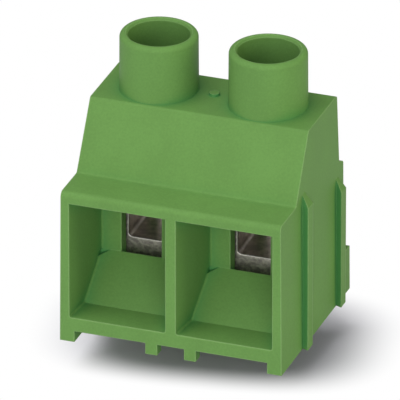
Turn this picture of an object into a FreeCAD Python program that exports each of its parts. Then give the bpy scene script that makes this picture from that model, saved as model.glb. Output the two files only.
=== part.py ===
import FreeCAD, Part
import math
import os
import Sketcher

# Two-pole screw terminal block for a circuit board, with rising-cage clamps.
# Millimetres. X runs across the poles from the middle of the block, Y runs from the
# wire side back, Z is up from the board. The placements then put the origin on the
# board, at the middle of the solder pin pattern.

# Driving sizes, in millimetres, with drafts in degrees
SIZES = {
    # Poles and overall block
    "pitch": 10.16,  # distance between the poles
    "base_width": 20.64,  # width of the block at the board
    "side_draft": 0.48,  # draft of each side in degrees
    "shelf_height": 14.5,  # top of the wire entries
    "shelf_depth": 4.05,  # depth of the shelf over the wire entries
    "block_height": 20.4,  # flat top of the block
    "top_front": 7.42,  # where the sloping front meets the flat top
    "top_back": 14.9,  # back edge of the flat top
    "waist_back": 15.4,  # back of the upper wall where it meets the thick rear part
    "waist_height": 13.75,  # top of the ledge on the rear
    "rear_height": 13.3,  # top of the thick rear part
    "rear_back": 16.5,  # back of the thick rear part
    "lip_radius": 0.5,  # rounding of the front lip
    "crest_radius": 0.3,  # rounding of the upper edges
    # Feet, legs and underside
    "skirt_gap": 1.05,  # height of the front skirt above the board
    "corner_width": 1.35,  # thickness of the side walls where they stand on the board
    "foot_width": 1.1,  # width of the two middle feet
    "foot_depth": 1.1,  # depth of the two middle feet
    "foot_inset": 1.25,  # distance of the middle feet from the centre plane
    "leg_back": 18.1,  # back of the four rear legs
    "leg_height": 4.2,  # height of the rear legs
    "core_wall": 1.3,  # wall left over the hollow under each ramp
    "core_height": 16.0,  # top of the hollow between the poles
    "core_width": 2.3,  # width of the hollow between the poles
    # Wire entries
    "entry_wall": 0.88,  # side wall beside a wire entry at its mouth
    "divider_wall": 0.96,  # wall between the two wire entries at the mouth
    "entry_bottom": 2.35,  # floor of a wire entry at its mouth
    "entry_top": 13.46,  # ceiling of a wire entry at its mouth
    "floor_depth": 2.95,  # depth of the flat floor before the ramp
    "floor_rise": 0.1,  # rise of the floor up to the ramp
    "throat_depth": 6.6,  # front face of the window wall
    "throat_width": 7.44,  # width of a wire entry at the window wall
    "throat_top": 11.2,  # ceiling at the window wall
    "sill_height": 6.15,  # crest of the ramp at the window
    "window_wall": 1.2,  # thickness of the window wall
    "sill_fall": 0.75,  # fall of the window sill behind the crest of the ramp
    "window_width": 3.76,  # width of a window
    "window_top": 10.9,  # top of a window
    "entry_radius": 0.2,  # rounding of the inner corners of a wire entry
    "dip_width": 0.85,  # width of the dip at each end of the crest of a ramp
    "dip_depth": 0.5,  # depth of the dips
    "dip_length": 0.8,  # how far the dips run forward from the window wall
    "dip_relief": 0.1,  # how far the dips cut into the side walls
    # Screw towers
    "screw_setback": 11.16,  # screw axis behind the front face
    "tower_width": 7.03,  # outside of a screw tower at its foot
    "tower_height": 5.4,  # height of a screw tower above the flat top
    "tower_draft": 0.4,  # draft of the towers in degrees
    "tower_radius": 0.45,  # rounding of the outer tower rim
    "bore_width": 5.5,  # driver bore
    "bore_depth": 4.9,  # depth of the driver bore down to the seat of the screw head
    "bore_bevel": 0.2,  # bevel of the bore edge
    "head_clearance": 0.1,  # gap round a screw head in its seat
    "nub_width": 0.9,  # gate mark between the towers
    "nub_height": 0.25,  # height of the gate mark
    "nub_setback": 11.4,  # gate mark behind the front face
    # Clamp chambers
    "chamber_top": 17.2,  # ceiling of a clamp chamber
    "shoulder": 1.2,  # web under the screw head
    "cage_clearance": 0.2,  # running gap round a cage
    "metal_clearance": 0.05,  # fitting gap round the contacts and under the screw heads
    "hole_clearance": 0.15,  # gap round the screw in the web
    # Joining ribs on the right and grooves on the left
    "rib_reach": 0.55,  # how far a rib stands out
    "rib_undercut": 0.24,  # overhang of each rib flank
    "rib_ramp": 1.1,  # height of the sloping top of a rib
    "front_rib_start": 5.36,  # outer front edge of the front rib
    "front_rib_width": 1.3,  # outer width of the front rib
    "front_rib_top": 15.0,  # top of the front rib
    "rear_rib_start": 14.22,  # outer front edge of the rear rib
    "rear_rib_width": 1.18,  # outer width of the rear rib
    "rear_rib_top": 12.4,  # top of the rear rib
    "groove_clearance": 0.08,  # gap round a rib in the groove of the next block
    # Cages
    "cage_floor_top": 6.9,  # clamping face of the open cage
    "cage_floor": 1.8,  # thick floor of a cage
    "cage_wall": 0.6,  # side walls of a cage
    "cage_inner_width": 3.6,  # width inside a cage
    "cage_inner_height": 4.6,  # height inside a cage
    "cage_head": 2.2,  # threaded head of a cage
    "cage_depth": 5.9,  # depth of a cage
    "cage_bend": 0.95,  # outer bend at the bottom of a cage
    "cage_shoulder": 0.5,  # outer bend at the top of a cage
    "cage_inner_bend": 0.35,  # inner bend at the bottom of a cage
    # Screws
    "screw_width": 2.88,  # mean thread diameter of a screw
    "thread_clearance": 0.06,  # gap between a screw and the cage thread
    "tip_bevel": 0.4,  # bevel of the screw tip
    "head_width": 4.8,  # screw head
    "head_height": 2.2,  # height of a screw head
    "head_bevel": 0.3,  # bevel of the head
    "slot_width": 0.8,  # driver slot
    "slot_depth": 1.1,  # depth of the driver slot
    # Contacts
    "strip": 1.0,  # thickness of the contact strip
    "tongue_top": 11.25,  # top of the contact tongue
    "tongue_width": 2.9,  # width of the contact tongue
    "tongue_lead": 0.1,  # how far the tongue stands out in front of the cage
    "bend": 0.3,  # inner bend of the contact strip
    "tongue_edge": 0.35,  # rolled lower edges of the tongue
    "strap_top": 2.6,  # seat of the contact in the housing
    "strap_width": 6.2,  # width of the contact strap
    "pin_rows": 5.08,  # distance between the rows of solder pins
    "pin_width": 1.0,  # width of a solder pin
    "pin_length": 3.5,  # solder pin below the board plane
    "pin_bevel": 0.25,  # bevel at a pin tip
}

document = FreeCAD.newDocument("screw_terminal")
sheet = document.addObject("Spreadsheet::Sheet", "Sizes")
for row, (alias, value) in enumerate(SIZES.items(), start=1):
    sheet.set(f"A{row}", alias)
    sheet.set(f"B{row}", str(value))
    sheet.setAlias(f"B{row}", alias)
document.recompute()

# Places that several pieces share, as expressions of the sizes
POLE = "Sizes.pitch / 2"
WEB_FRONT = "(Sizes.cage_depth / 2 + Sizes.cage_clearance)"
WEB_BACK = f"({WEB_FRONT} + Sizes.strip)"
PIN_MIDDLE = f"({WEB_FRONT} + Sizes.strip / 2 - Sizes.pin_rows / 2)"
FRONT_PIN = f"({WEB_FRONT} - Sizes.pin_rows)"
BORE_FLOOR = "(Sizes.chamber_top + Sizes.shoulder)"
TOWER_TOP = "(Sizes.block_height + Sizes.tower_height)"
CAGE_WIDTH = "(Sizes.cage_inner_width + 2 * Sizes.cage_wall)"
CAGE_INNER_TOP = "(Sizes.cage_floor_top + Sizes.cage_inner_height)"
ORIGIN_SETBACK = f"(Sizes.screw_setback + {PIN_MIDDLE})"
SHANK_LENGTH = f"({BORE_FLOOR} - Sizes.tongue_top)"

# How far a cut or a sketch runs past the solid that it trims
OVERRUN = "1"
# The same at the mouth of a groove, kept short because its flanks narrow towards the mouth
MOUTH_OVERRUN = "0.1"
TOLERANCE = 0.02
# Any size that a sketch line has before its expressions set the real one
START_SIZE = 1.0


def size(alias):
    return SIZES[alias]


# Building helpers

def new_body(label):
    body = document.addObject("PartDesign::Body", label)
    body.Label = label
    return body


def origin_plane(body, role):
    matches = [feature for feature in body.Origin.OriginFeatures if feature.Role == role]
    return matches[0]


def new_sketch(body, name, plane, offset="0"):
    sketch = body.newObject("Sketcher::SketchObject", name)
    sketch.AttachmentSupport = (origin_plane(body, plane), [""])
    sketch.MapMode = "FlatFace"
    sketch.setExpression("AttachmentOffset.Base.z", offset)
    return sketch


def fix_point(sketch, geometry, point, x, y):
    for kind, expression in (("DistanceX", x), ("DistanceY", y)):
        index = sketch.addConstraint(Sketcher.Constraint(kind, -1, 1, geometry, point, START_SIZE))
        name = f"{kind}_{geometry}"
        sketch.renameConstraint(index, name)
        sketch.setExpression(f"Constraints.{name}", expression)


def add_outline(sketch, corners):
    count = len(corners)
    turn = 2 * math.pi / count
    seeds = [FreeCAD.Vector(math.cos(turn * k), math.sin(turn * k), 0) for k in range(count)]
    lines = []
    for k in range(count):
        lines.append(sketch.addGeometry(Part.LineSegment(seeds[k], seeds[(k + 1) % count]), False))
    for k in range(count):
        following = lines[(k + 1) % count]
        sketch.addConstraint(Sketcher.Constraint("Coincident", lines[k], 2, following, 1))
    for line, (x, y) in zip(lines, corners):
        fix_point(sketch, line, 1, x, y)
    return lines


def add_rectangle(sketch, left, right, bottom, top):
    return add_outline(sketch, [(left, bottom), (right, bottom), (right, top), (left, top)])


def add_circle(sketch, x, y, diameter):
    origin = FreeCAD.Vector(0, 0, 0)
    upward = FreeCAD.Vector(0, 0, 1)
    circle = sketch.addGeometry(Part.Circle(origin, upward, START_SIZE), False)
    fix_point(sketch, circle, 3, x, y)
    index = sketch.addConstraint(Sketcher.Constraint("Diameter", circle, START_SIZE))
    sketch.renameConstraint(index, f"Diameter_{circle}")
    sketch.setExpression(f"Constraints.Diameter_{circle}", diameter)
    return circle


def add_pad(body, name, sketch, length, reverse=False, symmetric=False, taper="0"):
    pad = body.newObject("PartDesign::Pad", name)
    pad.Profile = sketch
    pad.setExpression("Length", length)
    pad.setExpression("TaperAngle", taper)
    pad.Reversed = reverse
    pad.SideType = "Symmetric" if symmetric else "One side"
    document.recompute()
    return pad


def add_pocket(body, name, sketch, length, reverse=False, symmetric=False):
    volume_before = body.Shape.Volume
    pocket = body.newObject("PartDesign::Pocket", name)
    pocket.Profile = sketch
    pocket.setExpression("Length", length)
    pocket.Reversed = reverse
    pocket.SideType = "Symmetric" if symmetric else "One side"
    document.recompute()
    if pocket.Shape.Volume >= volume_before:
        raise RuntimeError(f"{body.Label}: {name} cuts nothing")
    return pocket


def matching_edges(feature, test):
    return [f"Edge{k + 1}" for k, edge in enumerate(feature.Shape.Edges) if test(edge)]


def add_dressing(body, kind, name, base, amount, test):
    edges = matching_edges(base, test)
    if not edges:
        raise RuntimeError(f"{body.Label}: {name} finds no edge")
    dressing = body.newObject(f"PartDesign::{kind}", name)
    dressing.Base = (base, edges)
    dressing.setExpression("Radius" if kind == "Fillet" else "Size", amount)
    document.recompute()
    return dressing


def place(body, x, y, z):
    body.setExpression("Placement.Base.x", x)
    body.setExpression("Placement.Base.y", y)
    body.setExpression("Placement.Base.z", z)
    document.recompute()


# Edge tests: an edge is picked by where it lies, so the picks follow the sizes

def near(value, target):
    return abs(value - target) < TOLERANCE


def spans(edge, axis):
    box = edge.BoundBox
    lengths = {"X": box.XLength, "Y": box.YLength, "Z": box.ZLength}
    others = [length for name, length in lengths.items() if name != axis]
    return lengths[axis] > TOLERANCE and max(others) < TOLERANCE


def runs_across_at(places):
    def test(edge):
        box = edge.BoundBox
        at_place = any(near(box.YMin, y) and near(box.ZMin, z) for y, z in places)
        return at_place and spans(edge, "X")
    return test


def lies_at_height(height, reach):
    def test(edge):
        box = edge.BoundBox
        is_round = isinstance(edge.Curve, Part.Circle) and near(edge.Curve.Radius, reach)
        return is_round and near(box.ZMin, height) and near(box.ZMax, height)
    return test


# Housing

def housing_block(body):
    """Side profile of the block, drawn out across both poles."""
    sketch = new_sketch(body, "side_profile", "YZ_Plane")
    add_outline(sketch, [
        ("0", "0"),
        ("0", "Sizes.shelf_height"),
        ("Sizes.shelf_depth", "Sizes.shelf_height"),
        ("Sizes.top_front", "Sizes.block_height"),
        ("Sizes.top_back", "Sizes.block_height"),
        ("Sizes.waist_back", "Sizes.waist_height"),
        ("Sizes.rear_back", "Sizes.rear_height"),
        ("Sizes.rear_back", "0"),
    ])
    return add_pad(body, "block", sketch, "Sizes.base_width", symmetric=True)


def housing_rounding(body, block):
    """Soft edges that run across the block."""
    lip = runs_across_at([(0, size("shelf_height"))])
    rounded = add_dressing(body, "Fillet", "lip", block, "Sizes.lip_radius", lip)
    crest_places = [
        (size("shelf_depth"), size("shelf_height")),
        (size("top_front"), size("block_height")),
        (size("top_back"), size("block_height")),
        (size("rear_back"), size("rear_height")),
    ]
    crests = runs_across_at(crest_places)
    return add_dressing(body, "Fillet", "crests", rounded, "Sizes.crest_radius", crests)


def housing_underside(body):
    """Space under the skirt between the side walls."""
    sketch = new_sketch(body, "underside", "XY_Plane")
    reach = "(Sizes.base_width / 2 - Sizes.corner_width)"
    add_rectangle(sketch, f"-{reach}", reach, f"-{OVERRUN}", f"Sizes.rear_back + {OVERRUN}")
    return add_pocket(body, "skirt_space", sketch, "Sizes.skirt_gap", reverse=True)


def housing_feet(body):
    """Two middle feet at the front and four legs behind."""
    inner = "Sizes.foot_inset"
    outer = "(Sizes.foot_inset + Sizes.foot_width)"
    side = "(Sizes.base_width / 2)"
    side_inner = "(Sizes.base_width / 2 - Sizes.corner_width)"
    feet = new_sketch(body, "feet_plan", "XY_Plane")
    legs = new_sketch(body, "legs_plan", "XY_Plane")
    legs_front = "(Sizes.rear_back - Sizes.foot_depth)"
    for near_edge, far_edge in ((inner, outer), (f"-{outer}", f"-{inner}")):
        add_rectangle(feet, near_edge, far_edge, "0", "Sizes.foot_depth")
        add_rectangle(legs, near_edge, far_edge, legs_front, "Sizes.leg_back")
    for near_edge, far_edge in ((side_inner, side), (f"-{side}", f"-{side_inner}")):
        add_rectangle(legs, near_edge, far_edge, legs_front, "Sizes.leg_back")
    add_pad(body, "feet", feet, "Sizes.skirt_gap")
    return add_pad(body, "legs", legs, "Sizes.leg_height")


def housing_draft(body):
    """Sides lean in towards the top."""
    sketch = new_sketch(body, "draft_profile", "XZ_Plane", "-Sizes.leg_back / 2")
    foot = "(Sizes.base_width / 2)"
    rise = f"(Sizes.block_height + {OVERRUN})"
    head = f"({foot} - {rise} * tan(Sizes.side_draft * 1 deg))"
    outside = f"({foot} + {OVERRUN})"
    add_outline(sketch, [(foot, "0"), (outside, "0"), (outside, rise), (head, rise)])
    add_outline(sketch, [
        (f"-{foot}", "0"),
        (f"-{head}", rise),
        (f"-{outside}", rise),
        (f"-{outside}", "0"),
    ])
    depth = f"Sizes.leg_back + 2 * {OVERRUN}"
    return add_pocket(body, "draft", sketch, depth, symmetric=True)


def entry_section(body, name, depth, share, bottom):
    """One cross-section of a wire entry; share runs from 0 at the mouth to 1 at the window wall."""
    sketch = new_sketch(body, name, "XZ_Plane", f"-({depth})")
    mouth_inner = "Sizes.divider_wall / 2"
    mouth_outer = "(Sizes.base_width / 2 - Sizes.entry_wall)"
    throat_inner = f"({POLE} - Sizes.throat_width / 2)"
    throat_outer = f"({POLE} + Sizes.throat_width / 2)"
    inner = f"{mouth_inner} + ({throat_inner} - {mouth_inner}) * {share}"
    outer = f"{mouth_outer} + ({throat_outer} - {mouth_outer}) * {share}"
    top = f"Sizes.entry_top + (Sizes.throat_top - Sizes.entry_top) * {share}"
    add_rectangle(sketch, inner, outer, bottom, top)
    return sketch


def wire_entry(body):
    """Funnel from the mouth over the flat floor and up the ramp to the window."""
    bend = "(Sizes.floor_depth / Sizes.throat_depth)"
    mouth = entry_section(body, "mouth", "0", "0", "Sizes.entry_bottom")
    floor_end = "Sizes.entry_bottom + Sizes.floor_rise"
    middle = entry_section(body, "floor_end", "Sizes.floor_depth", bend, floor_end)
    throat = entry_section(body, "throat", "Sizes.throat_depth", "1", "Sizes.sill_height")
    document.recompute()
    volume_before = body.Shape.Volume
    loft = body.newObject("PartDesign::SubtractiveLoft", "wire_entry")
    loft.Profile = mouth
    loft.Sections = [middle, throat]
    loft.Ruled = True
    document.recompute()
    if loft.Shape.Volume >= volume_before:
        raise RuntimeError("the wire entry cuts nothing")
    return loft


def entry_window(body):
    """Window into the clamp chamber; its sill falls away behind the crest of the ramp."""
    sketch = new_sketch(body, "window_profile", "YZ_Plane", POLE)
    front = "Sizes.throat_depth"
    back = f"({front} + Sizes.window_wall)"
    crest = "Sizes.sill_height"
    add_outline(sketch, [
        (front, crest),
        (front, "Sizes.window_top"),
        (back, "Sizes.window_top"),
        (back, f"{crest} - Sizes.sill_fall"),
    ])
    return add_pocket(body, "window", sketch, "Sizes.window_width", symmetric=True)


def chamber_cut(body, name, half_width, front, back, top):
    """One rectangular cut upward from the board plane, centred on the pole."""
    sketch = new_sketch(body, f"{name}_plan", "XY_Plane")
    add_rectangle(sketch, f"{POLE} - {half_width}", f"{POLE} + {half_width}", front, back)
    return add_pocket(body, name, sketch, top, reverse=True)


def clamp_chamber(body):
    """Shaft of the cage, slot of the contact web and seat of the contact strap."""
    axis = "Sizes.screw_setback"
    cage_half = f"({CAGE_WIDTH} / 2 + Sizes.cage_clearance)"
    front = "Sizes.throat_depth + Sizes.window_wall"
    web_front = f"{axis} + {WEB_FRONT}"
    web_back = f"{axis} + {WEB_BACK} + Sizes.metal_clearance"
    web_half = "(Sizes.tongue_width / 2 + Sizes.metal_clearance)"
    web_top = "Sizes.tongue_top + Sizes.metal_clearance"
    strap_half = "(Sizes.strap_width / 2 + Sizes.metal_clearance)"
    strap_front = f"{axis} + {FRONT_PIN} - Sizes.metal_clearance"
    shaft = chamber_cut(body, "cage_shaft", cage_half, front, web_front, "Sizes.chamber_top")
    slot = chamber_cut(body, "web_slot", web_half, front, web_back, web_top)
    seat = chamber_cut(body, "strap_seat", strap_half, strap_front, web_back, "Sizes.strap_top")
    return [shaft, slot, seat]


def screw_tower(body):
    """Round tower with the driver bore and the hole for the screw."""
    axis = "Sizes.screw_setback"
    outline = new_sketch(body, "tower_plan", "XY_Plane", "Sizes.block_height")
    add_circle(outline, POLE, axis, "Sizes.tower_width")
    tower = add_pad(body, "tower", outline, "Sizes.tower_height", taper="-Sizes.tower_draft")
    bore_plan = new_sketch(body, "bore_plan", "XY_Plane", TOWER_TOP)
    add_circle(bore_plan, POLE, axis, "Sizes.bore_width")
    bore = add_pocket(body, "bore", bore_plan, "Sizes.bore_depth")
    seat_top = f"({TOWER_TOP} - Sizes.bore_depth)"
    seat_plan = new_sketch(body, "seat_plan", "XY_Plane", seat_top)
    add_circle(seat_plan, POLE, axis, "Sizes.head_width + 2 * Sizes.head_clearance")
    seat = add_pocket(body, "head_seat", seat_plan, f"{seat_top} - {BORE_FLOOR}")
    hole_plan = new_sketch(body, "hole_plan", "XY_Plane", BORE_FLOOR)
    add_circle(hole_plan, POLE, axis, "Sizes.screw_width + 2 * Sizes.hole_clearance")
    hole = add_pocket(body, "screw_hole", hole_plan, "Sizes.shoulder")
    return [tower, bore, seat, hole]


def ramp_hollow(body):
    """Hollow under the ramp, one wall thickness away from it."""
    sketch = new_sketch(body, "hollow_profile", "YZ_Plane", POLE)
    ramp_run = "(Sizes.throat_depth - Sizes.floor_depth)"
    floor_end = "(Sizes.entry_bottom + Sizes.floor_rise)"
    ramp_rise = f"(Sizes.sill_height - {floor_end})"
    ramp_length = f"sqrt({ramp_run} ^ 2 + {ramp_rise} ^ 2)"
    drop = f"(Sizes.core_wall * {ramp_length} / {ramp_run})"
    back = "(Sizes.throat_depth + Sizes.window_wall - Sizes.core_wall)"
    peak = f"({floor_end} + ({back} - Sizes.floor_depth) * {ramp_rise} / {ramp_run} - {drop})"
    start = f"(Sizes.floor_depth + (Sizes.skirt_gap + {drop} - {floor_end}) * {ramp_run} / {ramp_rise})"
    bottom = "Sizes.skirt_gap"
    add_outline(sketch, [(start, bottom), (back, bottom), (back, peak)])
    return add_pocket(body, "ramp_hollow", sketch, "Sizes.throat_width", symmetric=True)


def mirror_pole(body, features):
    """The second pole repeats the first across the centre plane."""
    mirrored = body.newObject("PartDesign::Mirrored", "second_pole")
    mirrored.Originals = features
    mirrored.MirrorPlane = (origin_plane(body, "YZ_Plane"), [""])
    body.Tip = mirrored
    document.recompute()
    return mirrored


def middle_hollow(body):
    """Hollow between the two clamp chambers, open below."""
    sketch = new_sketch(body, "middle_plan", "XY_Plane")
    half = "Sizes.core_width / 2"
    front = "Sizes.throat_depth + Sizes.window_wall"
    back = f"Sizes.screw_setback + {WEB_FRONT}"
    add_rectangle(sketch, f"-{half}", half, front, back)
    return add_pocket(body, "middle_hollow", sketch, "Sizes.core_height", reverse=True)


def joining_rib(body, name, start, width, top):
    """Dovetail rib on the right side, wider at its outer face, with a sloping top."""
    side = "(Sizes.base_width / 2)"
    inside = f"({side} - Sizes.entry_wall / 2)"
    reach = f"({side} + Sizes.rib_reach)"
    sketch = new_sketch(body, f"{name}_plan", "XY_Plane")
    outer_back = f"({start} + {width})"
    root_front = f"({start} + Sizes.rib_undercut)"
    root_back = f"({outer_back} - Sizes.rib_undercut)"
    add_outline(sketch, [
        (inside, root_front),
        (side, root_front),
        (reach, start),
        (reach, outer_back),
        (side, root_back),
        (inside, root_back),
    ])
    add_pad(body, name, sketch, top)
    slope = new_sketch(body, f"{name}_slope", "XZ_Plane", f"-({start} + {width} / 2)")
    wall_at_top = f"({side} - {top} * tan(Sizes.side_draft * 1 deg))"
    add_outline(slope, [
        (wall_at_top, top),
        (f"{reach} + {OVERRUN}", top),
        (f"{reach} + {OVERRUN}", f"{top} - Sizes.rib_ramp"),
        (reach, f"{top} - Sizes.rib_ramp"),
    ])
    return add_pocket(body, f"{name}_top", slope, f"{width} + {OVERRUN}", symmetric=True)


def joining_groove(body, name, start, width, top):
    """Groove on the left side, wider at its floor, that takes the rib of the next block."""
    side = "(Sizes.base_width / 2)"
    gap = "Sizes.groove_clearance"
    mouth = f"-({side} + {MOUTH_OVERRUN})"
    floor = f"-({side} - Sizes.rib_reach - {gap})"
    front = f"({start} - {gap})"
    back = f"({start} + {width} + {gap})"
    sketch = new_sketch(body, f"{name}_plan", "XY_Plane")
    add_outline(sketch, [
        (mouth, f"{front} + Sizes.rib_undercut"),
        (floor, front),
        (floor, back),
        (mouth, f"{back} - Sizes.rib_undercut"),
    ])
    return add_pocket(body, name, sketch, f"{top} + {gap}", reverse=True)


def gate_mark(body):
    """Small round mark on the flat top."""
    sketch = new_sketch(body, "nub_plan", "XY_Plane", "Sizes.block_height")
    add_circle(sketch, "0", "Sizes.nub_setback", "Sizes.nub_width")
    return add_pad(body, "gate_mark", sketch, "Sizes.nub_height")


def entry_corners():
    """Corner points of the wire entries, as pairs that bound each rounded edge."""
    depths = (0, size("floor_depth"), size("throat_depth"))
    floor_end = size("entry_bottom") + size("floor_rise")
    floors = (size("entry_bottom"), floor_end, size("sill_height"))
    mouth = (size("divider_wall") / 2, size("base_width") / 2 - size("entry_wall"))
    half_throat = size("throat_width") / 2
    throat = (size("pitch") / 2 - half_throat, size("pitch") / 2 + half_throat)
    pairs = []
    for side in (-1, 1):
        for mouth_x, throat_x in zip(mouth, throat):
            share = depths[1] / depths[2]
            bend_x = mouth_x + (throat_x - mouth_x) * share
            places = (mouth_x, bend_x, throat_x)
            points = [FreeCAD.Vector(side * x, y, z) for x, y, z in zip(places, depths, floors)]
            roof = FreeCAD.Vector(side * throat_x, depths[2], size("throat_top"))
            pairs.append((points[0], points[1]))
            pairs.append((points[1], points[2]))
            pairs.append((points[2], roof))
    return pairs


def entry_rounding(body, base):
    """Small fillets where the floor, the ramp and the walls of a wire entry meet."""
    pairs = entry_corners()

    def in_corner(edge):
        ends = [vertex.Point for vertex in edge.Vertexes]
        if len(ends) != 2:
            return False
        for first, second in pairs:
            forward = ends[0].distanceToPoint(first) + ends[1].distanceToPoint(second)
            backward = ends[1].distanceToPoint(first) + ends[0].distanceToPoint(second)
            if min(forward, backward) < TOLERANCE:
                return True
        return False

    return add_dressing(body, "Fillet", "entry_corners", base, "Sizes.entry_radius", in_corner)


def crest_dips(body):
    """The crest of each ramp dips at both ends, where it meets the side walls."""
    sketch = new_sketch(body, "dip_outline", "XZ_Plane", "-Sizes.throat_depth")
    crest = "Sizes.sill_height"
    for pole in (POLE, f"-{POLE}"):
        for side in ("", "-"):
            wall = f"({pole} + {side}(Sizes.throat_width / 2 + Sizes.dip_relief))"
            start = f"({pole} + {side}(Sizes.throat_width / 2 - Sizes.dip_width))"
            points = [(start, crest), (wall, crest), (wall, f"{crest} - Sizes.dip_depth")]
            add_outline(sketch, points)
    return add_pocket(body, "crest_dips", sketch, "Sizes.dip_length", reverse=True)


def tower_rounding(body, base):
    """Rounded rim on each tower and a bevel on each bore."""
    top = size("block_height") + size("tower_height")
    rim = size("tower_width") / 2 - size("tower_height") * math.tan(math.radians(size("tower_draft")))
    outer = lies_at_height(top, rim)
    rounded = add_dressing(body, "Fillet", "tower_rims", base, "Sizes.tower_radius", outer)
    inner = lies_at_height(top, size("bore_width") / 2)
    return add_dressing(body, "Chamfer", "bore_rims", rounded, "Sizes.bore_bevel", inner)


def make_housing():
    body = new_body("housing")
    block = housing_block(body)
    housing_rounding(body, block)
    housing_underside(body)
    housing_feet(body)
    housing_draft(body)
    pole = [wire_entry(body), entry_window(body)]
    pole += clamp_chamber(body)
    pole += screw_tower(body)
    pole.append(ramp_hollow(body))
    mirror_pole(body, pole)
    middle_hollow(body)
    ribs = (
        ("front_rib", "Sizes.front_rib_start", "Sizes.front_rib_width", "Sizes.front_rib_top"),
        ("rear_rib", "Sizes.rear_rib_start", "Sizes.rear_rib_width", "Sizes.rear_rib_top"),
    )
    for name, start, width, top in ribs:
        joining_rib(body, name, start, width, top)
        joining_groove(body, name.replace("rib", "groove"), start, width, top)
    base = gate_mark(body)
    base = entry_rounding(body, base)
    base = crest_dips(body)
    tower_rounding(body, base)
    place(body, "0", f"-{ORIGIN_SETBACK}", "0")
    return body


# Cage: a bent steel box that the screw pulls up under the contact tongue

def cage_box(body):
    sketch = new_sketch(body, "cage_front", "XZ_Plane")
    half = f"{CAGE_WIDTH} / 2"
    bottom = "Sizes.cage_floor_top - Sizes.cage_floor"
    top = f"{CAGE_INNER_TOP} + Sizes.cage_head"
    add_rectangle(sketch, f"-{half}", half, bottom, top)
    return add_pad(body, "cage_box", sketch, "Sizes.cage_depth", symmetric=True)


def edges_along_depth(height):
    def test(edge):
        return spans(edge, "Y") and near(edge.BoundBox.ZMin, height)
    return test


def cage_bends(body, box):
    bottom = size("cage_floor_top") - size("cage_floor")
    top = size("cage_floor_top") + size("cage_inner_height") + size("cage_head")
    lower = edges_along_depth(bottom)
    upper = edges_along_depth(top)
    bent = add_dressing(body, "Fillet", "lower_bends", box, "Sizes.cage_bend", lower)
    return add_dressing(body, "Fillet", "upper_bends", bent, "Sizes.cage_shoulder", upper)


def cage_window(body):
    sketch = new_sketch(body, "cage_window_outline", "XZ_Plane")
    half = "Sizes.cage_inner_width / 2"
    add_rectangle(sketch, f"-{half}", half, "Sizes.cage_floor_top", CAGE_INNER_TOP)
    window = add_pocket(body, "cage_window", sketch, f"Sizes.cage_depth + {OVERRUN}", symmetric=True)
    inner = edges_along_depth(size("cage_floor_top"))
    return add_dressing(body, "Fillet", "inner_bends", window, "Sizes.cage_inner_bend", inner)


def cage_thread(body):
    sketch = new_sketch(body, "thread_plan", "XY_Plane", f"{CAGE_INNER_TOP} + Sizes.cage_head")
    add_circle(sketch, "0", "0", "Sizes.screw_width + 2 * Sizes.thread_clearance")
    return add_pocket(body, "thread_hole", sketch, "Sizes.cage_head")


def make_cage(label, side):
    body = new_body(label)
    box = cage_box(body)
    cage_bends(body, box)
    cage_window(body)
    cage_thread(body)
    place(body, f"{side} * {POLE}", f"-{PIN_MIDDLE}", "0")
    return body


# Screw: head in the driver bore, shank through the web and the cage

def screw_turning(body):
    sketch = new_sketch(body, "half_profile", "XZ_Plane")
    shank = "Sizes.screw_width / 2"
    head = "Sizes.head_width / 2"
    under_head = f"({SHANK_LENGTH})"
    top = f"({under_head} + Sizes.head_height)"
    add_outline(sketch, [
        ("0", "0"),
        (f"{shank} - Sizes.tip_bevel", "0"),
        (shank, "Sizes.tip_bevel"),
        (shank, under_head),
        (head, under_head),
        (head, f"{top} - Sizes.head_bevel"),
        (f"{head} - Sizes.head_bevel", top),
        ("0", top),
    ])
    turning = body.newObject("PartDesign::Revolution", "turning")
    turning.Profile = sketch
    turning.ReferenceAxis = (sketch, ["V_Axis"])
    turning.Angle = 360
    document.recompute()
    return turning


def screw_slot(body):
    sketch = new_sketch(body, "slot_plan", "XY_Plane", f"{SHANK_LENGTH} + Sizes.head_height")
    half_length = f"(Sizes.head_width / 2 + {OVERRUN})"
    half_width = "Sizes.slot_width / 2"
    add_rectangle(sketch, f"-{half_length}", half_length, f"-{half_width}", half_width)
    return add_pocket(body, "slot", sketch, "Sizes.slot_depth")


def make_screw(label, side):
    body = new_body(label)
    screw_turning(body)
    screw_slot(body)
    height = "Sizes.tongue_top + Sizes.metal_clearance"
    place(body, f"{side} * {POLE}", f"-{PIN_MIDDLE}", height)
    return body


# Contact: one strip, bent to a tongue through the cage, a web behind it and a strap with two pins

def contact_strap(body):
    sketch = new_sketch(body, "strap_plan", "XY_Plane", "Sizes.strap_top - Sizes.strip")
    half = "Sizes.strap_width / 2"
    add_rectangle(sketch, f"-{half}", half, FRONT_PIN, WEB_BACK)
    return add_pad(body, "strap", sketch, "Sizes.strip")


def contact_tongue(body):
    sketch = new_sketch(body, "tongue_profile", "YZ_Plane")
    front = "(-Sizes.cage_depth / 2 - Sizes.tongue_lead)"
    under = "(Sizes.tongue_top - Sizes.strip)"
    foot = "(Sizes.strap_top - Sizes.strip)"
    add_outline(sketch, [
        (WEB_BACK, foot),
        (WEB_BACK, "Sizes.tongue_top"),
        (front, "Sizes.tongue_top"),
        (front, under),
        (WEB_FRONT, under),
        (WEB_FRONT, foot),
    ])
    return add_pad(body, "tongue", sketch, "Sizes.tongue_width", symmetric=True)


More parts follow.
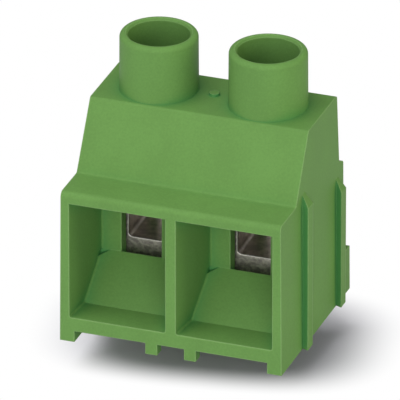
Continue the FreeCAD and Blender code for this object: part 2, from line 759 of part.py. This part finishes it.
def contact_bends(body, tongue):
    web_front = size("cage_depth") / 2 + size("cage_clearance")
    web_back = web_front + size("strip")
    top = size("tongue_top")
    outer = runs_across_at([(web_back, top)])
    inner = runs_across_at([(web_front, top - size("strip"))])
    bent = add_dressing(body, "Fillet", "outer_bend", tongue, "Sizes.bend + Sizes.strip", outer)
    bent = add_dressing(body, "Fillet", "inner_bend", bent, "Sizes.bend", inner)
    rolled = edges_along_depth(top - size("strip"))
    return add_dressing(body, "Fillet", "rolled_edges", bent, "Sizes.tongue_edge", rolled)


def contact_pins(body):
    sketch = new_sketch(body, "pins_plan", "XY_Plane", "-Sizes.pin_length")
    half = "Sizes.pin_width / 2"
    add_rectangle(sketch, f"-{half}", half, FRONT_PIN, f"{FRONT_PIN} + Sizes.strip")
    add_rectangle(sketch, f"-{half}", half, WEB_FRONT, WEB_BACK)
    pins = add_pad(body, "pins", sketch, "Sizes.pin_length + Sizes.strap_top - Sizes.strip")
    tip = -size("pin_length")

    def at_tip(edge):
        return near(edge.BoundBox.ZMin, tip) and near(edge.BoundBox.ZMax, tip)

    return add_dressing(body, "Chamfer", "pin_tips", pins, "Sizes.pin_bevel", at_tip)


def make_contact(label, side):
    body = new_body(label)
    contact_strap(body)
    tongue = contact_tongue(body)
    contact_bends(body, tongue)
    contact_pins(body)
    place(body, f"{side} * {POLE}", f"-{PIN_MIDDLE}", "0")
    return body


# The whole block

def check_objects():
    for item in document.Objects:
        if "Invalid" in item.State or "Error" in item.State:
            raise RuntimeError(f"{item.Label} failed: {item.State}")


def check_body(body):
    shape = body.Shape
    if shape.isNull() or not shape.isValid():
        raise RuntimeError(f"{body.Label} has no valid shape")
    if len(shape.Solids) != 1:
        raise RuntimeError(f"{body.Label} is not one solid")


def write_parts(bodies):
    os.makedirs("parts", exist_ok=True)
    for body in bodies:
        body.Shape.exportStep(f"parts/{body.Label}.step")


LEFT = "-1"
RIGHT = "1"
parts = [
    make_housing(),
    make_contact("left_contact", LEFT),
    make_contact("right_contact", RIGHT),
    make_cage("left_cage", LEFT),
    make_cage("right_cage", RIGHT),
    make_screw("left_screw", LEFT),
    make_screw("right_screw", RIGHT),
]
document.recompute()
check_objects()
for part in parts:
    check_body(part)
write_parts(parts)
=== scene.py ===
"""Finishes, small surfaces and studio for a two-pole circuit board screw terminal."""

import math

import bpy
import numpy as np
from bpy.props import FloatProperty, FloatVectorProperty, PointerProperty
from mathutils import Matrix, Vector


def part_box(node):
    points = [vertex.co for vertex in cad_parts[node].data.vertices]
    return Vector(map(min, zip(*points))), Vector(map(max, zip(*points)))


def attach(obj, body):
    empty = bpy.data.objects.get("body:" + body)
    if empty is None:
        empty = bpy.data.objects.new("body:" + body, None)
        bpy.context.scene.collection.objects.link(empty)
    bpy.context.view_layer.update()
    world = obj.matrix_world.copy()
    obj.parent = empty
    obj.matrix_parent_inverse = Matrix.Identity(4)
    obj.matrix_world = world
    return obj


bl_info = {
    "name": "Screw terminal dressing",
    "version": (1, 0, 0),
    "blender": (4, 5, 0),
    "location": "3D View > Sidebar > Terminal",
    "description": "Finishes and studio of a two-pole circuit board screw terminal",
    "category": "Object",
}

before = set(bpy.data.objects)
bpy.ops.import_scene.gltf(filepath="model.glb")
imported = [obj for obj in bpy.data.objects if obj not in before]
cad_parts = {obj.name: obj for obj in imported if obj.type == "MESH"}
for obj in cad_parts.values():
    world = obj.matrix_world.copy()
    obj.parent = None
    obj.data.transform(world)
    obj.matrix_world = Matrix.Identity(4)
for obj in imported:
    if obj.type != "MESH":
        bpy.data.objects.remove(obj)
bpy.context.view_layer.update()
MM = 0.001

# Camera: it looks at the block from the right and from above, far away. The aim is a point in the
# block, and it shows this far to the right of the picture's middle and above it.
VIEW_TURN = math.radians(19.819)
VIEW_HEIGHT = math.radians(26.4575)
VIEW_DISTANCE = 1143.47 * MM
AIM = Vector((0.0, -4.15 * MM, 10.15 * MM))
AIM_RIGHT = 0.16395 * MM
AIM_UP = -1.33289 * MM
PIXELS_PER_METRE = 11393.66
IMAGE_WIDTH = 400
FILM_WIDTH = 36.0
NEAREST_SEEN = 0.01
FARTHEST_SEEN = 20.0

# Lamps: the way from the block to each, the sides of the squares, and what they point at
KEY_WAY = (0.253, -0.945, 0.208)
FILL_WAY = (0.978, 0.0, 0.208)
HIGH_WAY = (-0.332, -0.332, 0.883)
TOP_WAY = (0.0, -0.035, 0.999)
OVERHEAD_WAY = (-0.22, -0.16, 1.0)
KEY_SIDE = 0.26
LAMP_SIDE = 0.20
LAMP_AIM = Vector((0.0, 0.0, 11.0 * MM))
WHITE = (1.0, 1.0, 1.0)
WARM = (1.04, 1.0, 0.66)

# Oval on the floor inside which the shadow shows: it begins to fade at a share of the way out
SHADOW_TURN = math.radians(9.4)
SHADOW_WIDTH = 17.2 * MM
SHADOW_DEPTH = 11.3 * MM
SHADOW_FULLNESS = 3.0
SHADOW_FADE = 0.56

# Thread of a clamp screw: root just inside the shank, crest just inside the cage's thread.
# Its section sinks a little under the root and is wide at the foot and narrow at the tip.
THREAD_PITCH = 0.5 * MM
THREAD_ROOT = 1.42 * MM
THREAD_CREST = 1.475 * MM
THREAD_SINK = 0.05 * MM
THREAD_HALF_FOOT = 0.20 * MM
THREAD_HALF_TIP = 0.05 * MM
THREAD_START = 0.7 * MM
THREAD_END = 0.5 * MM
THREAD_STEPS = 28
SECTION_POINTS = 4
SCREW_HEAD = 2.2 * MM

# Shares of a finish's colour in its dark and light clouds, its torn spots and its lighter edges
PLASTIC_CLOUDS = (0.94, 1.06)
PLATING_CLOUDS = (0.78, 1.12)
STRIP_CLOUDS = (0.75, 1.15)
TORN_SPOTS = 0.55
PLATING_EDGE_LIFT = 1.5

# How far round a point its openness is measured: for inner corners, which the painted edge
# highlight keeps off, and for whole hollows, which get painted shade
CORNER_REACH = 0.6 * MM
HOLLOW_REACH = 2.5 * MM

# Radius of the softened edges of the metal pieces
PLATED_EDGE = 0.06 * MM
STRIP_EDGE = 0.17 * MM


# Shader helpers

class Value:
    """A number in a node tree. Python arithmetic on it adds Math nodes."""

    def __init__(self, tree, socket):
        self.tree = tree
        self.socket = socket

    def combine(self, other, operation, swapped=False):
        node = self.tree.nodes.new("ShaderNodeMath")
        node.operation = operation
        terms = (other, self) if swapped else (self, other)
        for place, term in zip(node.inputs, terms):
            if isinstance(term, Value):
                self.tree.links.new(term.socket, place)
            else:
                place.default_value = term
        return Value(self.tree, node.outputs[0])

    def __add__(self, other):
        return self.combine(other, "ADD")

    def __radd__(self, other):
        return self.combine(other, "ADD", True)

    def __sub__(self, other):
        return self.combine(other, "SUBTRACT")

    def __rsub__(self, other):
        return self.combine(other, "SUBTRACT", True)

    def __mul__(self, other):
        return self.combine(other, "MULTIPLY")

    def __rmul__(self, other):
        return self.combine(other, "MULTIPLY", True)

    def __truediv__(self, other):
        return self.combine(other, "DIVIDE")

    def __pow__(self, other):
        return self.combine(other, "POWER")


class Tree:
    """The node tree of one finish or of the world."""

    def __init__(self, tree):
        self.tree = tree
        self.tree.nodes.clear()

    def add(self, kind, settings=None, inputs=None, output=0):
        """Adds one node: its settings first, then the values or links of its sockets."""
        node = self.tree.nodes.new(kind)
        for name, setting in (settings or {}).items():
            setattr(node, name, setting)
        for name, given in (inputs or {}).items():
            place = node.inputs[name]
            if isinstance(given, Value):
                self.tree.links.new(given.socket, place)
            else:
                place.default_value = given
        return Value(self.tree, node.outputs[output]) if node.outputs else None

    def place(self):
        return self.add("ShaderNodeTexCoord", output="Object")

    def noise(self, where, scale, detail=2.0, roughness=0.5):
        """Noise from 0 to 1, about 0.5 on average. Sums for roughness take that mean off again."""
        inputs = {"Vector": where, "Scale": scale, "Detail": detail, "Roughness": roughness}
        return self.add("ShaderNodeTexNoise", inputs=inputs, output="Fac")

    def stretched(self, where, scale):
        return self.add("ShaderNodeMapping", inputs={"Vector": where, "Scale": scale})

    def band(self, value, low, high):
        """Smooth step from 0 at low to 1 at high."""
        settings = {"interpolation_type": "SMOOTHSTEP"}
        inputs = {"Value": value, "From Min": low, "From Max": high}
        return self.add("ShaderNodeMapRange", settings, inputs)

    def tint(self, factor, first, second):
        """The first colour where the factor is 0, the second where it is 1."""
        settings = {"data_type": "RGBA"}
        return self.add("ShaderNodeMix", settings, {0: factor, 6: first, 7: second}, output=2)

    def soft_edges(self, radius):
        """Normals that turn smoothly round each edge."""
        return self.add("ShaderNodeBevel", {"samples": 6}, {"Radius": radius})

    def facing(self, direction):
        """How much a face looks along a direction, from -1 to 1."""
        normal = self.add("ShaderNodeNewGeometry", output="Normal")
        settings = {"operation": "DOT_PRODUCT"}
        inputs = {0: direction, 1: normal}
        return self.add("ShaderNodeVectorMath", settings, inputs, output="Value")

    def edge_share(self, rounded):
        """0 on flat faces, up to 1 on edges, from how far the rounded normal turns away."""
        return self.band(1.0 - self.facing(rounded), low=0.005, high=0.15)

    def openness(self, reach):
        """1 where a face lies open, towards 0 in inner corners and narrow gaps."""
        settings = {"samples": 8, "only_local": True}
        return self.add("ShaderNodeAmbientOcclusion", settings, {"Distance": reach}, output="AO")

    def component(self, vector, axis):
        """One component of a vector, where axis 0 is x, 1 is y and 2 is z."""
        return self.add("ShaderNodeSeparateXYZ", inputs={0: vector}, output=axis)

    def relief(self, height, normal, strength, distance):
        """Bump on top of a normal."""
        inputs = {"Height": height, "Normal": normal, "Strength": strength, "Distance": distance}
        return self.add("ShaderNodeBump", inputs=inputs)

    def surface(self, inputs):
        shader = self.add("ShaderNodeBsdfPrincipled", inputs=inputs)
        self.add("ShaderNodeOutputMaterial", inputs={"Surface": shader})


def new_finish(name):
    material = bpy.data.materials.new(name)
    material.use_nodes = True
    return material, Tree(material.node_tree)


def shade(colour, share):
    """The same colour, darker for a share under 1 and lighter over it."""
    return tuple(channel * share for channel in colour[:3]) + (1.0,)


def dress(node_names, material):
    """Puts a finish on CAD nodes."""
    for name in node_names:
        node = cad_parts[name]
        node.data.materials.clear()
        node.data.materials.append(material)
        for polygon in node.data.polygons:
            polygon.material_index = 0


# Finishes

def moulded_plastic(sizes):
    """Moulded polyamide: fine spark grain, faint cloudy flow, softened edges, painted shade in
    hollows and a painted edge highlight.
    """
    material, tree = new_finish("green_polyamide")
    where = tree.place()
    upward = tree.stretched(where, (1.0, 1.0, 0.45))
    flow = tree.noise(upward, scale=260.0, detail=3.0, roughness=0.55)
    speckle = tree.noise(where, scale=5200.0, detail=2.0)
    grain = tree.noise(where, scale=14000.0, detail=3.0, roughness=0.6)
    cloud = tree.band(flow * 0.5 + speckle * 0.5, low=0.34, high=0.66)
    dark, light = PLASTIC_CLOUDS
    green = sizes.plastic_colour
    body = tree.tint(cloud, shade(green, dark), shade(green, light))
    # Painted shade: hollows and inner corners turn to the crease colour, darker and greener
    open_hollow = tree.band(tree.openness(HOLLOW_REACH), low=0.30, high=0.85)
    shaded_body = tree.tint(open_hollow, sizes.crease_shade_colour, body)
    # Painted highlight: outer edges turn to the pale edge colour, kept off inner corners
    rounded = tree.soft_edges(sizes.edge_rounding)
    open_corner = tree.band(tree.openness(CORNER_REACH), low=0.75, high=0.98)
    highlight_share = tree.edge_share(rounded) * open_corner
    colour = tree.tint(highlight_share, shaded_body, sizes.edge_highlight_colour)
    height = grain * 0.8 + flow * 0.2
    normal = tree.relief(height, rounded, strength=0.12, distance=0.02 * MM)
    tree.surface({
        "Base Color": colour,
        "Roughness": flow * 0.12 + (sizes.plastic_roughness - 0.06),
        "Specular IOR Level": 0.06,
        "Normal": normal,
    })
    return material


def plated_metal(name, colour, roughness):
    """Plated metal: fine lines, cloudy plating and edges lighter in colour."""
    material, tree = new_finish(name)
    where = tree.place()
    rolled = tree.stretched(where, (1.0, 0.06, 1.0))
    lines = tree.noise(rolled, scale=5200.0, detail=3.0, roughness=0.65)
    cloud = tree.noise(where, scale=900.0, detail=3.0, roughness=0.6)
    stain = tree.band(cloud, low=0.35, high=0.75)
    dark, light = PLATING_CLOUDS
    tone = tree.tint(stain, shade(colour, dark), shade(colour, light))
    rounded = tree.soft_edges(PLATED_EDGE)
    bright = tree.tint(tree.edge_share(rounded), tone, shade(colour, PLATING_EDGE_LIFT))
    height = lines * 0.6 + cloud * 0.4
    normal = tree.relief(height, rounded, strength=0.35, distance=0.03 * MM)
    tree.surface({
        "Base Color": bright,
        "Metallic": 1.0,
        "Roughness": lines * 0.18 + cloud * 0.12 + (roughness - 0.15),
        "Normal": normal,
    })
    return material


def cage_steel(sizes):
    """Stamped strip: brownish rolled faces, torn, mottled cut faces at both ends, and a painted
    highlight along the edges.
    """
    material, tree = new_finish("cage_strip")
    where = tree.place()
    along = tree.stretched(where, (1.0, 0.05, 1.0))
    lines = tree.noise(along, scale=5200.0, detail=3.0, roughness=0.65)
    cloud = tree.noise(where, scale=1100.0, detail=3.0, roughness=0.6)
    flattened = tree.stretched(where, (1.0, 1.0, 1.4))
    torn = tree.noise(flattened, scale=1900.0, detail=4.0, roughness=0.62)
    colour = sizes.cage_colour
    dark, light = STRIP_CLOUDS
    stain = tree.band(cloud, low=0.35, high=0.7)
    rolled = tree.tint(stain, shade(colour, dark), shade(colour, light))
    spots = tree.band(torn, low=0.40, high=0.62)
    cut = tree.tint(spots, shade(colour, TORN_SPOTS), sizes.cut_colour)
    end_face = tree.band(tree.facing((0.0, 1.0, 0.0)) ** 2.0, low=0.3, high=0.8)
    face = tree.tint(end_face, rolled, cut)
    rounded = tree.soft_edges(STRIP_EDGE)
    # Painted highlight: the edges turn to the pale burr colour
    bright = tree.tint(tree.edge_share(rounded), face, sizes.burr_highlight_colour)
    height = lines * 0.3 + torn * end_face
    normal = tree.relief(height, rounded, strength=0.6, distance=0.06 * MM)
    tree.surface({
        "Base Color": bright,
        "Metallic": 1.0,
        "Roughness": cloud * 0.15 + end_face * 0.12 + (sizes.cage_roughness - 0.1),
        "Normal": normal,
    })
    return material


# Small surfaces

def add_mesh(name, points, faces):
    """An object in the scene, from an array of points and an array of faces."""
    mesh = bpy.data.meshes.new(name)
    mesh.from_pydata(points.tolist(), [], faces.tolist())
    piece = bpy.data.objects.new(name, mesh)
    bpy.context.scene.collection.objects.link(piece)
    return piece


def thread_ridge(name, node_name):
    """Fine thread of a clamp screw.

    A section with a narrow crest is carried along a right-handed helix: the angle gives
    the place round the axis, height grows by one pitch a turn, and at both ends the crest
    sinks into the shank within one turn. Both ends are closed by the section itself.
    """
    low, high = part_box(node_name)
    centre = (low + high) / 2.0
    bottom = low.z + THREAD_START
    turns = int((high.z - SCREW_HEAD - THREAD_END - bottom) / THREAD_PITCH)
    angle = np.linspace(0.0, math.tau * turns, THREAD_STEPS * turns + 1)
    fade = np.clip(np.minimum(angle, angle[-1] - angle) / math.tau, 0.0, 1.0)
    crest = THREAD_ROOT + (THREAD_CREST - THREAD_ROOT) * fade
    root = np.full_like(crest, THREAD_ROOT - THREAD_SINK)
    radius = np.stack([root, crest, crest, root], axis=1)
    offset = np.array([-THREAD_HALF_FOOT, -THREAD_HALF_TIP, THREAD_HALF_TIP, THREAD_HALF_FOOT])
    height = bottom + THREAD_PITCH * angle[:, None] / math.tau + offset
    points = np.stack([
        centre.x + radius * np.cos(angle)[:, None],
        centre.y + radius * np.sin(angle)[:, None],
        height,
    ], axis=2).reshape(-1, 3)
    around = SECTION_POINTS
    step, side = np.meshgrid(np.arange(len(angle) - 1), np.arange(around), indexing="ij")
    here = around * step + side
    beside = around * step + (side + 1) % around
    faces = np.stack([here, here + around, beside + around, beside], axis=2).reshape(-1, 4)
    first_end = np.arange(around)
    last_end = around * len(angle) - 1 - first_end
    return add_mesh(name, points, np.vstack([faces, first_end, last_end]))


# Settings that a user would change

def colour_setting(name, description, *channels):
    return FloatVectorProperty(
        name=name, description=description,
        subtype="COLOR", size=4, min=0.0, max=1.0, default=channels + (1.0,))


def roughness_setting(name, description, default):
    return FloatProperty(
        name=name, description=description, subtype="FACTOR", min=0.15, max=1.0, default=default)


def length_setting(name, description, smallest, default):
    return FloatProperty(
        name=name, description=description,
        subtype="DISTANCE", unit="LENGTH", min=smallest, default=default)


def level_setting(name, description, default):
    return FloatProperty(name=name, description=description, min=0.0, default=default)


class TerminalFinish(bpy.types.PropertyGroup):
    plastic_colour: colour_setting(
        "Plastic colour", "Colour of the moulded housing", 0.138, 0.289, 0.075)
    # Painted highlight along the outer edges of the housing
    edge_highlight_colour: colour_setting(
        "Edge colour", "Colour of the worn edges of the housing", 0.275, 0.470, 0.175)
    # Painted shade in the hollows and inner corners of the housing
    crease_shade_colour: colour_setting(
        "Crease colour", "Colour of the inner corners of the housing", 0.078, 0.276, 0.082)
    plastic_roughness: roughness_setting(
        "Plastic roughness", "Mean roughness of the housing", default=0.46)
    edge_rounding: length_setting(
        "Edge rounding", "Radius of the softened edges of the housing",
        smallest=0.0, default=0.20 * MM)
    cage_colour: colour_setting(
        "Cage colour", "Colour of the plated cages", 0.74, 0.67, 0.60)
    cut_colour: colour_setting(
        "Cut face colour", "Colour of the torn cut faces of the cages", 0.68, 0.65, 0.55)
    # Painted highlight along the edges of the cages
    burr_highlight_colour: colour_setting(
        "Burr colour", "Colour of the bright edges of the cages", 1.0, 0.97, 0.92)
    cage_roughness: roughness_setting(
        "Cage roughness", "Mean roughness of the cages", default=0.38)
    screw_colour: colour_setting(
        "Screw colour", "Colour of the plated screws", 0.66, 0.65, 0.62)
    screw_roughness: roughness_setting(
        "Screw roughness", "Mean roughness of the screws", default=0.30)
    contact_colour: colour_setting(
        "Contact colour", "Colour of the tinned contacts and pins", 0.70, 0.69, 0.66)
    contact_roughness: roughness_setting(
        "Contact roughness", "Mean roughness of the contacts", default=0.34)


class TerminalStudio(bpy.types.PropertyGroup):
    floor_reach: length_setting(
        "Floor reach", "Half the width of the floor", smallest=0.1, default=1.5)
    floor_level: length_setting(
        "Floor level", "Height of the floor under the tips of the solder pins",
        smallest=-1.0, default=-3.5 * MM)
    floor_colour: colour_setting(
        "Floor colour", "Colour of the floor near the block", 0.58, 0.57, 0.61)
    light_distance: length_setting(
        "Light distance", "Distance of the lamps from the block", smallest=0.05, default=0.30)
    surround: level_setting(
        "Surround", "Level of the light from all round", default=0.27)
    key_level: level_setting(
        "Key light", "Level of the low light from the front", default=0.64)
    fill_level: level_setting(
        "Fill light", "Level of the warm light from the right", default=0.31)
    high_level: level_setting(
        "High light", "Level of the high light from the left", default=0.38)
    top_level: level_setting(
        "Top light", "Level of the light from straight above", default=0.21)
    overhead_level: level_setting(
        "Overhead light", "Level of the light from above that meets only the floor", default=0.63)


# Operators

class TERMINAL_OT_housing(bpy.types.Operator):
    """Give the housing its moulded finish"""

    bl_idname = "terminal.housing"
    bl_label = "Housing"

    def execute(self, context):
        dress(["housing"], moulded_plastic(context.scene.terminal_finish))
        return {"FINISHED"}


class TERMINAL_OT_cages(bpy.types.Operator):
    """Give both cages their plated strip finish"""

    bl_idname = "terminal.cages"
    bl_label = "Cages"

    def execute(self, context):
        dress(["left_cage", "right_cage"], cage_steel(context.scene.terminal_finish))
        return {"FINISHED"}


class TERMINAL_OT_screws(bpy.types.Operator):
    """Give both screws their plated finish and their threads"""

    bl_idname = "terminal.screws"
    bl_label = "Screws"

    def execute(self, context):
        sizes = context.scene.terminal_finish
        finish = plated_metal("screw_plating", sizes.screw_colour, sizes.screw_roughness)
        dress(["left_screw", "right_screw"], finish)
        for side in ("left", "right"):
            ridge = thread_ridge(f"{side}_screw_thread", f"{side}_screw")
            ridge.data.materials.append(finish)
            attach(ridge, f"{side}_screw")
        return {"FINISHED"}


class TERMINAL_OT_contacts(bpy.types.Operator):
    """Give both contacts their tinned finish"""

    bl_idname = "terminal.contacts"
    bl_label = "Contacts"

    def execute(self, context):
        sizes = context.scene.terminal_finish
        finish = plated_metal("contact_tin", sizes.contact_colour, sizes.contact_roughness)
        dress(["left_contact", "right_contact"], finish)
        return {"FINISHED"}


# Studio

def view_axes():
    """Right, up and backward directions of the camera."""
    back = Vector((
        math.sin(VIEW_TURN) * math.cos(VIEW_HEIGHT),
        -math.cos(VIEW_TURN) * math.cos(VIEW_HEIGHT),
        math.sin(VIEW_HEIGHT),
    ))
    right = Vector((math.cos(VIEW_TURN), math.sin(VIEW_TURN), 0.0))
    return right, back.cross(right), back


def add_camera(scene):
    right, up, back = view_axes()
    data = bpy.data.cameras.new("camera")
    data.sensor_width = FILM_WIDTH
    data.lens = PIXELS_PER_METRE * VIEW_DISTANCE * FILM_WIDTH / IMAGE_WIDTH
    data.clip_start = NEAREST_SEEN
    data.clip_end = FARTHEST_SEEN
    camera = bpy.data.objects.new("camera", data)
    place = AIM - AIM_RIGHT * right - AIM_UP * up + VIEW_DISTANCE * back
    turn = Matrix((right, up, back)).transposed().to_4x4()
    camera.matrix_world = Matrix.Translation(place) @ turn
    scene.collection.objects.link(camera)
    scene.camera = camera


def add_lamp(scene, name, way, side, level, distance, tint=WHITE):
    """Square lamp; a surface that faces it gets the level as its share of white."""
    data = bpy.data.lights.new(name, "AREA")
    data.shape = "SQUARE"
    data.size = side
    data.energy = math.pi ** 2 * level * distance ** 2
    data.color = tint
    lamp = bpy.data.objects.new(name, data)
    outward = Vector(way).normalized()
    turn = outward.to_track_quat("Z", "Y").to_matrix().to_4x4()
    lamp.matrix_world = Matrix.Translation(LAMP_AIM + outward * distance) @ turn
    scene.collection.objects.link(lamp)
    return lamp


def link_floor(lamp, floor, state):
    """The lamp lights the floor alone (INCLUDE) or all but the floor (EXCLUDE)."""
    lit = bpy.data.collections.new(f"{lamp.name}_receivers")
    lit.objects.link(floor)
    lit.collection_objects[0].light_linking.link_state = state
    lamp.light_linking.receiver_collection = lit


def add_surround(scene, level):
    """Even light from all round; the camera sees plain white."""
    world = bpy.data.worlds.new("surround")
    world.use_nodes = True
    scene.world = world
    tree = Tree(world.node_tree)
    seen = tree.add("ShaderNodeLightPath", output="Is Camera Ray")
    strength = seen * (1.0 - level) + level
    inputs = {"Color": (*WHITE, 1.0), "Strength": strength}
    background = tree.add("ShaderNodeBackground", inputs=inputs)
    tree.add("ShaderNodeOutputWorld", inputs={"Surface": background})


def floor_finish(colour):
    """White floor that keeps the shadow near the block and runs out to plain white.

    The way out is 0 under the origin and 1 on a turned oval, which is fuller than an ellipse.
    Each term is squared first, because the Power node needs a base that isn't negative.
    """
    material, tree = new_finish("studio_floor")
    where = tree.place()
    x = tree.component(where, 0)
    y = tree.component(where, 1)
    cosine = math.cos(SHADOW_TURN)
    sine = math.sin(SHADOW_TURN)
    across = (x * cosine + y * sine) / SHADOW_WIDTH
    along = (y * cosine - x * sine) / SHADOW_DEPTH
    half_power = SHADOW_FULLNESS / 2.0
    summed = (across ** 2.0) ** half_power + (along ** 2.0) ** half_power
    away = tree.band(summed ** (1.0 / SHADOW_FULLNESS), low=SHADOW_FADE, high=1.0)
    seen = tree.add("ShaderNodeLightPath", output="Is Camera Ray")
    lit = tree.add("ShaderNodeBsdfDiffuse", inputs={"Color": colour})
    plain = tree.add("ShaderNodeEmission", inputs={"Strength": 1.0})
    mixed = tree.add("ShaderNodeMixShader", inputs={0: away * seen, 1: lit, 2: plain})
    tree.add("ShaderNodeOutputMaterial", inputs={"Surface": mixed})
    return material


def add_floor(reach, level, material):
    """Flat square of two by two faces: x and y run from minus to plus the reach at one height."""
    steps = np.array([-reach, 0.0, reach])
    x, y = np.meshgrid(steps, steps)
    points = np.stack([x.ravel(), y.ravel(), np.full(x.size, level)], axis=1)
    row = len(steps)
    column_start, row_start = np.meshgrid(np.arange(row - 1), row * np.arange(row - 1))
    corner = (column_start + row_start).ravel()
    faces = np.stack([corner, corner + 1, corner + row + 1, corner + row], axis=1)
    floor = add_mesh("floor", points, faces)
    floor.data.materials.append(material)
    return floor


class TERMINAL_OT_studio(bpy.types.Operator):
    """Set up the floor, the lamps, the surround and the camera"""

    bl_idname = "terminal.studio"
    bl_label = "Studio"

    def execute(self, context):
        scene = context.scene
        studio = scene.terminal_studio
        scene.view_settings.view_transform = "Standard"
        add_camera(scene)
        add_surround(scene, studio.surround)
        distance = studio.light_distance
        add_lamp(scene, "key", KEY_WAY, KEY_SIDE, studio.key_level, distance)
        fill = add_lamp(scene, "fill", FILL_WAY, LAMP_SIDE, studio.fill_level, distance, WARM)
        add_lamp(scene, "high", HIGH_WAY, LAMP_SIDE, studio.high_level, distance)
        add_lamp(scene, "top", TOP_WAY, LAMP_SIDE, studio.top_level, distance)
        overhead = add_lamp(
            scene, "overhead", OVERHEAD_WAY, LAMP_SIDE, studio.overhead_level, distance)
        finish = floor_finish(studio.floor_colour)
        floor = add_floor(studio.floor_reach, studio.floor_level, finish)
        link_floor(overhead, floor, "INCLUDE")
        link_floor(fill, floor, "EXCLUDE")
        return {"FINISHED"}


# Panel and registration

OPERATORS = (
    TERMINAL_OT_housing,
    TERMINAL_OT_cages,
    TERMINAL_OT_screws,
    TERMINAL_OT_contacts,
    TERMINAL_OT_studio,
)


class TERMINAL_PT_dressing(bpy.types.Panel):
    """Buttons and settings of the terminal block"""

    bl_idname = "TERMINAL_PT_dressing"
    bl_label = "Screw terminal"
    bl_space_type = "VIEW_3D"
    bl_region_type = "UI"
    bl_category = "Terminal"

    def draw(self, context):
        for operator in OPERATORS:
            self.layout.operator(operator.bl_idname)
        for group in (context.scene.terminal_finish, context.scene.terminal_studio):
            for name in group.__annotations__:
                self.layout.prop(group, name)


CLASSES = (TerminalFinish, TerminalStudio) + OPERATORS + (TERMINAL_PT_dressing,)


def register():
    for item in CLASSES:
        bpy.utils.register_class(item)
    bpy.types.Scene.terminal_finish = PointerProperty(type=TerminalFinish)
    bpy.types.Scene.terminal_studio = PointerProperty(type=TerminalStudio)


def unregister():
    del bpy.types.Scene.terminal_studio
    del bpy.types.Scene.terminal_finish
    for item in reversed(CLASSES):
        bpy.utils.unregister_class(item)


def main():
    register()
    bpy.ops.terminal.housing()
    bpy.ops.terminal.cages()
    bpy.ops.terminal.screws()
    bpy.ops.terminal.contacts()
    bpy.ops.terminal.studio()


if __name__ == "__main__":
    main()
